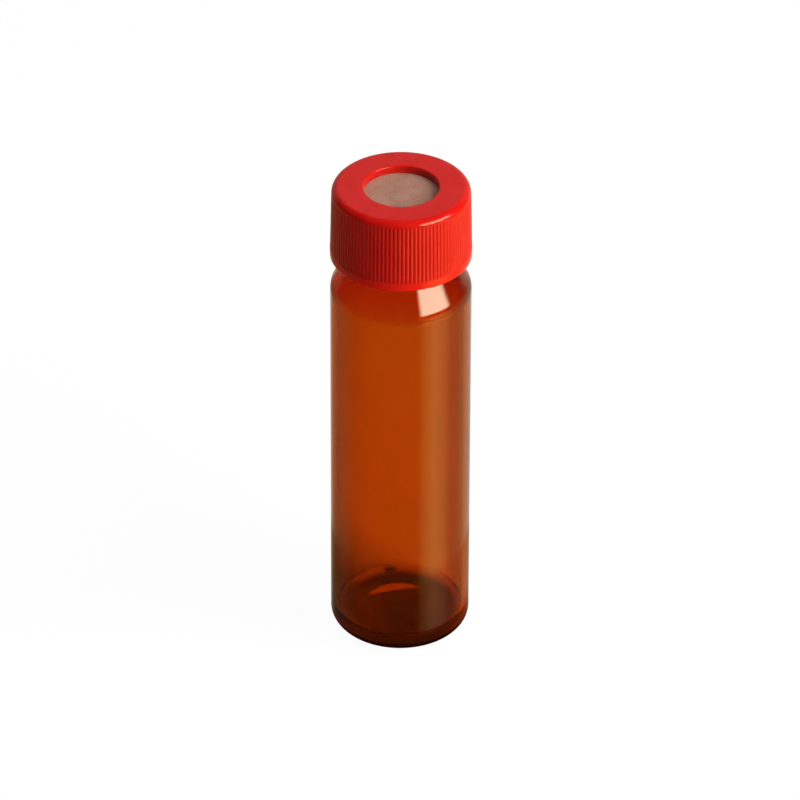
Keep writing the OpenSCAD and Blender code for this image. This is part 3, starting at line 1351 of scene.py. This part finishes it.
@dataclass
class Floor:
    """The white floor, which each kind of ray sees in its own way.

    The lights fall on a plain matt white that takes the object's shadow, and the camera sees it
    nearly white whatever the light. Through the glass it is a little brighter, with a painted
    shadow under the vial and a fainter one behind it on the left, and one lit crescent. Mirrored
    rays see an amber glow at the vial's foot and go through the rest to the lower half of the
    room. A camera below the floor looks through it.

    Places are (x, y) or (x, y, 0) on the floor. Depth is y, which grows towards the back. A reach
    holds the two distances between which an effect fades.

    Attributes:
        size: Side of the square floor.
        z: Height of the floor, just under the vial's resting ring.
        grey: Grey value of the floor.
        camera_share: Share of plain white in what the camera sees.
        through_gain: How much brighter than its grey value the floor is through the glass.
        flag_place: Middle of the part, in front on the left, that throws less light on the cap.
        flag_reach: Distances from that middle between which it ends.
        flag_share: How much of that light is taken away.
        shadow_under_colour: Colour of the painted shadow under the vial.
        shadow_under_share: How much of the floor the painted shadow covers there.
        shadow_under_reach: Distances from the axis between which it ends.
        shade_place: Middle of a fainter painted shadow behind the vial on the left.
        shade_share: How much of the floor the painted shadow covers there.
        shade_reach: Distances from that middle between which it ends.
        leak_colour: Colour of the crescent of light under the vial.
        leak_disc: Middle and radius of the disc that holds the crescent.
        leak_notch: Middle and radius of the disc that is cut out of it.
        leak_edge: Half the width of the crescent's soft edge.
        foot_glow: Amber that mirrored rays see in front of the vial's foot.
        foot_dark: Darker colour that they see under its edge.
        foot_start: Distances from the axis between which the darker colour turns into amber.
        foot_reach: Distances from the axis between which the amber ends.
        foot_front: Depths between which the amber ends towards the back.
        foot_lean: What each metre to the right adds to a point's depth before that is compared.
        mirror_front: Tint of what mirrored rays see through the floor near the vial, in front.
        mirror_back: The same behind the vial.
        mirror_depth: Depths between which the first turns into the second.
        mirror_reach: Distances from the axis between which the tint ends.
    """

    size: float = 6.0
    z: float = -0.00004
    grey: float = 0.80
    camera_share: float = 0.96
    through_gain: float = 1.2
    flag_place: Place = (-0.090, -0.090, 0.0)
    flag_reach: Span = (0.03, 0.11)
    flag_share: float = 0.85
    shadow_under_colour: Colour = (0.010, 0.014, 0.018)
    shadow_under_share: float = 0.98
    shadow_under_reach: Span = (0.0120, 0.0170)
    shade_place: Place = (-0.021, 0.015, 0.0)
    shade_share: float = 0.45
    shade_reach: Span = (0.005, 0.022)
    leak_colour: Colour = (1.1, 1.2, 1.0)
    leak_disc: tuple[Span, float] = ((-0.0001, 0.0027), 0.0066)
    leak_notch: tuple[Span, float] = ((0.0060, -0.0221), 0.0300)
    leak_edge: float = 0.0004
    foot_glow: Colour = (0.75, 0.10, 0.018)
    foot_dark: Colour = (0.03, 0.012, 0.006)
    foot_start: Span = (0.0140, 0.0160)
    foot_reach: Span = (0.0185, 0.0215)
    foot_front: Span = (-0.0085, 0.0040)
    foot_lean: float = -0.4
    mirror_front: Colour = (0.74, 0.42, 0.66)
    mirror_back: Colour = (0.62, 0.52, 0.44)
    mirror_depth: Span = (-0.008, 0.006)
    mirror_reach: Span = (0.035, 0.041)

    def matt(self, wiring: Wiring, bent: Socket) -> Socket:
        """Wires the matt white, with the darker part that only diffuse rays see.

        Args:
            wiring: The material's wiring.
            bent: Whether a ray is bent through the glass.

        Returns:
            The shader.
        """
        plain = rgba((self.grey,) * 3)
        bright = rgba((self.grey * self.through_gain,) * 3)
        diffuse = wiring.add("ShaderNodeLightPath").outputs["Is Diffuse Ray"]
        off_flag = wiring.distance(self.flag_place)
        flag = wiring.times(diffuse, wiring.remap(off_flag, self.flag_reach, (self.flag_share, 0.0)))
        paint = wiring.mix(flag, wiring.mix(bent, plain, bright), rgba(BLACK))
        return wiring.add("ShaderNodeBsdfDiffuse", {"Color": paint}).outputs[0]

    def off_disc(self, wiring: Wiring, disc: tuple[Span, float], ends: Span) -> Socket:
        """Fades a value across a disc's edge.

        Args:
            wiring: The material's wiring.
            disc: The disc's middle and radius.
            ends: The value inside the disc and outside it.

        Returns:
            The value.
        """
        middle, radius = disc
        off = wiring.math("SUBTRACT", wiring.distance((*middle, 0.0)), radius)
        return wiring.remap(off, (-self.leak_edge, self.leak_edge), ends)

    def painted_shadow_under_vial(self, wiring: Wiring, away: Socket, bent: Socket) -> tuple[Socket, Socket]:
        """Wires the painted shadow under the vial and behind it, as it is seen through the glass.

        Args:
            wiring: The material's wiring.
            away: Distance from the axis.
            bent: Whether a ray is bent through the glass.

        Returns:
            How much of the floor it covers, and its shader.
        """
        # Painted shadow: a near-black glow under the vial, and a fainter one behind it on the left, seen
        # only through the glass.
        near = wiring.times(wiring.remap(away, self.shadow_under_reach, FALLING), self.shadow_under_share)
        off_shade = wiring.distance(self.shade_place)
        shade = wiring.remap(off_shade, self.shade_reach, (self.shade_share, 0.0))
        in_disc = self.off_disc(wiring, self.leak_disc, FALLING)
        crescent = wiring.times(in_disc, self.off_disc(wiring, self.leak_notch, RISING))
        colour = wiring.mix(crescent, rgba(self.shadow_under_colour), rgba(self.leak_colour))
        return wiring.times(bent, wiring.larger(near, shade)), wiring.glow(colour)

    def at_foot(self, wiring: Wiring, away: Socket, mirrored: Socket) -> tuple[Socket, Socket]:
        """Wires the amber glow at the vial's foot, as mirrored rays see it.

        Args:
            wiring: The material's wiring.
            away: Distance from the axis.
            mirrored: Whether a ray is mirrored by a surface.

        Returns:
            How much of the floor it covers, and its shader.
        """
        inside = wiring.remap(away, self.foot_reach, FALLING)
        covered = wiring.remap(away, self.foot_start, FALLING)
        leaning = wiring.math("MULTIPLY_ADD", wiring.along("X"), self.foot_lean, wiring.along("Y"))
        front = wiring.remap(leaning, self.foot_front, FALLING)
        share = wiring.times(wiring.times(mirrored, inside), wiring.larger(front, covered))
        colour = wiring.mix(covered, rgba(self.foot_glow), rgba(self.foot_dark))
        return share, wiring.glow(colour)

    def opening(self, wiring: Wiring, away: Socket, camera: Socket) -> Socket:
        """Wires the way through the floor: tinted near the vial, and clear to the camera.

        Args:
            wiring: The material's wiring.
            away: Distance from the axis.
            camera: Whether a ray is the camera's.

        Returns:
            The shader.
        """
        beyond = wiring.remap(wiring.along("Y"), self.mirror_depth, RISING)
        tint = wiring.mix(beyond, rgba(self.mirror_front), rgba(self.mirror_back))
        clear = wiring.larger(camera, wiring.remap(away, self.mirror_reach, RISING))
        colour = wiring.mix(clear, tint, rgba(WHITE))
        return wiring.add("ShaderNodeBsdfTransparent", {0: colour}).outputs[0]

    def material(self) -> bpy.types.Material:
        """Joins what each kind of ray sees.

        Returns:
            The material.
        """
        material = bpy.data.materials.new("floor_white")
        wiring = empty_tree(material)
        camera, mirrored, bent = ray_kinds(wiring)
        away = wiring.distance(ORIGIN)
        shadow_under_share, under = self.painted_shadow_under_vial(wiring, away, bent)
        lit = wiring.blend(shadow_under_share, self.matt(wiring, bent), under)
        lit = wiring.blend(wiring.times(camera, self.camera_share), lit, wiring.glow(rgba(WHITE)))
        foot_share, foot = self.at_foot(wiring, away, mirrored)
        opened = wiring.blend(foot_share, self.opening(wiring, away, camera), foot)
        from_below = wiring.add("ShaderNodeNewGeometry").outputs["Backfacing"]
        open_share = wiring.larger(mirrored, wiring.times(camera, from_below))
        whole = wiring.blend(open_share, lit, opened)
        wiring.add("ShaderNodeOutputMaterial", {"Surface": whole})
        return material

    def build(self) -> bpy.types.Object:
        """Makes the floor, as one square that isn't part of the object.

        Returns:
            The floor.
        """
        half = self.size / 2.0
        corners = np.array([[-half, -half], [half, -half], [half, half], [-half, half]])
        points = np.column_stack((corners, np.full(len(corners), self.z)))
        floor = build_piece("floor", points, [np.arange(len(corners))[None, :]])
        floor.data.materials.append(self.material())
        LOG.info("floor: %.0f m square", self.size)
        return floor


@dataclass
class Room:
    """The room round the object: white to the camera and through the glass, dim grey otherwise.

    What a polished surface mirrors follows the direction: the table below the horizon, and above
    it a grey that grows towards the back, with the side light in it.

    Attributes:
        dim: Light that the room gives to matt surfaces.
        sky: Brightness that is mirrored above the table, in front and behind.
        sky_depth: Values of the direction's y between which the first turns into the second.
        horizon: Sines of the elevation between which the table ends.
        window: Brightness of the side light where it is mirrored.
        window_sides: Its left and right edge in degrees of azimuth.
        window_ends: Its lower and upper edge as sines of the elevation.
        side_soft: Half the width of its soft left and right edge, in degrees.
        end_soft: Half the width of its soft lower and upper edge, as a sine.
        table: What is mirrored below the horizon, as azimuth in degrees and brightness.
        gain: Strength of the mirrored room, whose colours are divided by it, because the steps of
            a colour ramp end at 1.
    """

    dim: float = 0.05
    sky: Span = (0.015, 0.38)
    sky_depth: Span = (0.40, 0.80)
    horizon: Span = (-0.16, -0.10)
    window: Colour = (11.8, 12.7, 8.9)
    window_sides: Span = (32.5, 83.0)
    window_ends: Span = (0.16, 0.56)
    side_soft: float = 4.5
    end_soft: float = 0.05
    table: tuple[tuple[float, Colour], ...] = (
        (-180.0, (0.90, 0.86, 0.80)),
        (-158.0, (0.50, 0.45, 0.30)),
        (-145.0, (0.16, 0.23, 0.13)),
        (-131.0, (0.20, 0.17, 0.09)),
        (-112.0, (0.22, 0.19, 0.09)),
        (-98.0, (0.18, 0.15, 0.06)),
        (-78.0, (0.05, 0.04, 0.02)),
        (0.0, (0.03, 0.03, 0.01)),
        (29.0, (0.05, 0.05, 0.02)),
        (36.0, (0.60, 0.55, 0.10)),
        (56.0, (1.45, 1.40, 0.37)),
        (72.0, (1.10, 1.05, 0.33)),
        (90.0, (0.35, 0.31, 0.14)),
        (106.0, (0.30, 0.27, 0.14)),
        (121.0, (0.45, 0.44, 0.20)),
        (136.0, (0.34, 0.54, 0.33)),
        (151.0, (0.54, 0.57, 0.42)),
    )
    gain: float = 2.0

    def divided(self, colour: Colour) -> tuple[float, float, float, float]:
        """Returns a mirrored colour divided by the gain, with full alpha."""
        return rgba(tuple(part / self.gain for part in colour))

    def mirrored_table(self, wiring: Wiring, azimuth: Socket) -> Socket:
        """Wires the colour of the table: a ramp over the azimuth that closes behind the object.

        Args:
            wiring: The world's wiring.
            azimuth: The direction's azimuth in radians.

        Returns:
            The colour, divided by the gain.
        """
        full, middle = 360.0, 0.5
        share = wiring.math("MULTIPLY_ADD", azimuth, 1.0 / TURN, middle)
        ramp = wiring.add("ShaderNodeValToRGB", {0: share})
        steps = ramp.color_ramp.elements
        behind = self.divided(self.table[0][1])
        steps[1].position = 1.0
        steps[1].color = behind
        for degrees, colour in self.table[1:]:
            step = steps.new(degrees / full + middle)
            step.color = self.divided(colour)
        steps[0].color = behind
        return ramp.outputs[0]

    def between(self, wiring: Wiring, value: Socket, low: float, high: float, soft: float) -> Socket:
        """Wires a mask that is 1 between two soft edges.

        Args:
            wiring: The world's wiring.
            value: The value that is tested.
            low: The lower edge.
            high: The upper edge.
            soft: Half the width of each edge.

        Returns:
            The mask.
        """
        over = wiring.remap(value, (low - soft, low + soft), RISING)
        return wiring.times(over, wiring.remap(value, (high - soft, high + soft), FALLING))

    def mirrored_window(self, wiring: Wiring, azimuth: Socket, rise: Socket) -> Socket:
        """Wires how much of the side light is mirrored in a direction.

        Args:
            wiring: The world's wiring.
            azimuth: The direction's azimuth in radians.
            rise: The sine of its elevation.

        Returns:
            The mask.
        """
        left, right = (math.radians(edge) for edge in self.window_sides)
        sides = self.between(wiring, azimuth, left, right, math.radians(self.side_soft))
        return wiring.times(sides, self.between(wiring, rise, *self.window_ends, self.end_soft))

    def mirrored_room(self, wiring: Wiring) -> Socket:
        """Wires what a polished surface mirrors in each direction.

        Args:
            wiring: The world's wiring.

        Returns:
            The colour, divided by the gain.
        """
        direction = wiring.add("ShaderNodeTexCoord").outputs["Generated"]
        way = wiring.add("ShaderNodeSeparateXYZ", {0: direction}).outputs
        azimuth = wiring.math("ARCTAN2", way["X"], wiring.times(way["Y"], -1.0))
        divided_sky = tuple(level / self.gain for level in self.sky)
        grey = wiring.remap(way["Y"], self.sky_depth, divided_sky)
        upper = wiring.add("ShaderNodeCombineColor", {0: grey, 1: grey, 2: grey}).outputs[0]
        window = self.mirrored_window(wiring, azimuth, way["Z"])
        upper = wiring.mix(window, upper, self.divided(self.window))
        above = wiring.remap(way["Z"], self.horizon, RISING)
        return wiring.mix(above, self.mirrored_table(wiring, azimuth), upper)

    def build(self) -> bpy.types.World:
        """Makes the world.

        The strength is 1 for the camera and through the glass, the gain for mirrored rays, and the
        dim level for all others.

        Returns:
            The world.
        """
        world = bpy.data.worlds.new("studio_room")
        wiring = empty_tree(world)
        camera, mirrored, bent = ray_kinds(wiring)
        dim = wiring.math("SUBTRACT", self.dim, mirrored)
        level = wiring.larger(wiring.larger(camera, bent), dim)
        strength = wiring.math("MULTIPLY_ADD", mirrored, self.gain, level)
        colour = wiring.mix(mirrored, rgba(WHITE), self.mirrored_room(wiring))
        light = wiring.add("ShaderNodeBackground", {"Color": colour, "Strength": strength})
        wiring.add("ShaderNodeOutputWorld", {"Surface": light.outputs[0]})
        world.cycles.sampling_method = "NONE"
        bpy.context.scene.world = world
        LOG.info("room: %d steps in the mirrored table", len(self.table))
        return world


@dataclass
class Studio:
    """The white floor, the room and the soft lights.

    Attributes:
        floor: The floor.
        room: The room.
        lights: A tall light on the right, one overhead, and a weak one on the left at the back.
    """

    floor: Floor = field(default_factory=Floor)
    room: Room = field(default_factory=Room)
    lights: tuple[SoftBox, ...] = (
        SoftBox(
            "side_light",
            place=standing(azimuth=66.0, distance=0.62, z=0.60),
            aim_z=0.60,
            width=0.69,
            height=0.90,
            radiance=8.9,
        ),
        SoftBox(
            "top_light",
            place=Vector((-0.1, 0.15, 1.0)),
            aim_z=0.085,
            width=0.8,
            height=0.8,
            radiance=1.9,
        ),
        SoftBox(
            "left_fill",
            place=standing(azimuth=-128.0, distance=0.5, z=0.12),
            aim_z=0.09,
            width=0.4,
            height=0.22,
            radiance=0.8,
        ),
    )

    def build(self) -> None:
        """Builds the floor, the room and the lights."""
        self.floor.build()
        self.room.build()
        for light in self.lights:
            light.build()


@dataclass
class Shot:
    """The photograph's camera.

    Attributes:
        elevation: Degrees above the floor.
        distance: From the camera to the point that it faces.
        aim_z: Height of that point on the axis.
        focal_px: Focal length in pixels of an 800-pixel frame.
        frame_px: Width of that frame.
        sensor_mm: Width of the sensor in millimetres.
        roll: Degrees that the camera is turned about its own axis.
        aside: How far it stands to the right of the object's axis.
        clip: Nearest and furthest distance that it sees.
    """

    elevation: float = 33.97
    distance: float = 1.333
    aim_z: float = 0.05118
    focal_px: float = 6857.0
    frame_px: float = 800.0
    sensor_mm: float = 36.0
    roll: float = 0.20
    aside: float = -0.0001
    clip: Span = (0.01, 100.0)

    def build(self) -> bpy.types.Object:
        """Makes the camera in front of the object, facing its axis.

        Returns:
            The camera.
        """
        data = bpy.data.cameras.new("camera")
        data.sensor_width = self.sensor_mm
        data.lens = self.focal_px * data.sensor_width / self.frame_px
        data.clip_start, data.clip_end = self.clip
        camera = bpy.data.objects.new("camera", data)
        back = heading(0.0, self.elevation)
        stand = Matrix.Translation(Vector((self.aside, 0.0, self.aim_z)) + back * self.distance)
        facing = back.to_track_quat("Z", "Y").to_matrix().to_4x4()
        camera.matrix_world = stand @ facing @ Matrix.Rotation(math.radians(self.roll), 4, "Z")
        bpy.context.scene.collection.objects.link(camera)
        bpy.context.scene.camera = camera
        LOG.info("camera: %.1f mm lens, %.3f m away", data.lens, self.distance)
        return camera


def main() -> None:
    """Builds the camera, the studio and the pieces, and notes the boxes' sizes."""
    logging.basicConfig(level=logging.INFO, format="%(name)s: %(message)s")
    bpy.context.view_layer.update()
    bpy.context.scene.view_settings.view_transform = "Standard"
    Shot().build()
    Studio().build()
    GlassVial().build()
    Septum().build()
    ScrewCap().build()


if __name__ == "__main__":
    main()
